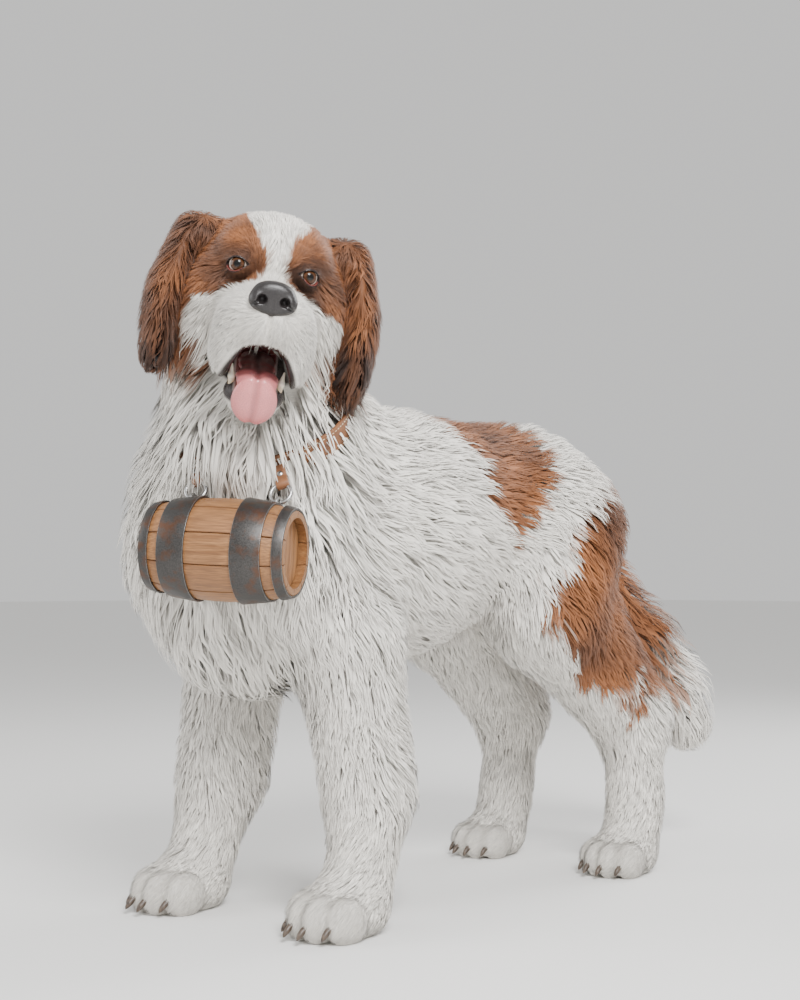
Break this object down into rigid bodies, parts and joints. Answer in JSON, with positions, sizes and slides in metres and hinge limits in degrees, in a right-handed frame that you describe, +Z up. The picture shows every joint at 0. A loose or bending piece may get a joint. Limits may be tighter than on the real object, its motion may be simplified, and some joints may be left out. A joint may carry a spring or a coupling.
{
  "type": "saint bernard dog, standing, with a keg on its collar",
  "caption": "Life-size long-haired Saint Bernard standing with its head turned to the left, mouth open, with a wooden keg hung from its collar.",
  "frame": {"origin": "on the floor, under the middle of the model's bounding box", "axes": "+Z up, -Y the way the dog's body faces, +X its left side"},
  "size_m": [0.5282, 1.2946, 1.0025],
  "materials": {
    "coat_white": "long soft fur, off-white",
    "coat_red": "long soft fur, red-brown",
    "coat_dark": "short soft fur, dark red-brown",
    "nose_leather": "moist pebbled skin",
    "tongue": "moist flesh",
    "eye": "wet, dark brown",
    "claw": "dark horn",
    "collar_leather": "worn tanned leather",
    "ring_steel": "forged and polished",
    "keg_hoop": "dark worn iron",
    "keg_oak": "oiled oak"
  },
  "bodies": {
    "root": {"trunk": "coat_white", "neck": "coat_white", "head": "coat_red", "lower_jaw": "coat_white", "nose": "nose_leather", "tongue": "tongue", "eye_left": "eye", "ear_left": "coat_dark", "eye_right": "eye", "ear_right": "coat_dark", "leg_fore_left": "coat_white", "paw_fore_left": "coat_white", "claw_fore_left_1": "claw", "claw_fore_left_2": "claw", "claw_fore_left_3": "claw", "claw_fore_left_4": "claw", "leg_fore_right": "coat_white", "paw_fore_right": "coat_white", "claw_fore_right_1": "claw", "claw_fore_right_2": "claw", "claw_fore_right_3": "claw", "claw_fore_right_4": "claw", "leg_hind_left": "coat_white", "paw_hind_left": "coat_white", "claw_hind_left_1": "claw", "claw_hind_left_2": "claw", "claw_hind_left_3": "claw", "claw_hind_left_4": "claw", "leg_hind_right": "coat_white", "paw_hind_right": "coat_white", "claw_hind_right_1": "claw", "claw_hind_right_2": "claw", "claw_hind_right_3": "claw", "claw_hind_right_4": "claw", "tail_brush": "coat_white", "tail_root": "coat_red", "collar": "collar_leather", "keg_stave_1": "keg_oak", "keg_stave_2": "keg_oak", "keg_stave_3": "keg_oak", "keg_stave_4": "keg_oak", "keg_stave_5": "keg_oak", "keg_stave_6": "keg_oak", "keg_stave_7": "keg_oak", "keg_stave_8": "keg_oak", "keg_stave_9": "keg_oak", "keg_stave_10": "keg_oak", "keg_hoop_left_end": "keg_hoop", "keg_hoop_left": "keg_hoop", "keg_hoop_right": "keg_hoop", "keg_hoop_right_end": "keg_hoop", "keg_head_left": "keg_oak", "keg_staple_left": "ring_steel", "hanger_ring_left": "ring_steel", "hanger_tab_left": "collar_leather", "keg_head_right": "keg_oak", "keg_staple_right": "ring_steel", "hanger_ring_right": "ring_steel", "hanger_tab_right": "collar_leather"}
  },
  "joints": []
}
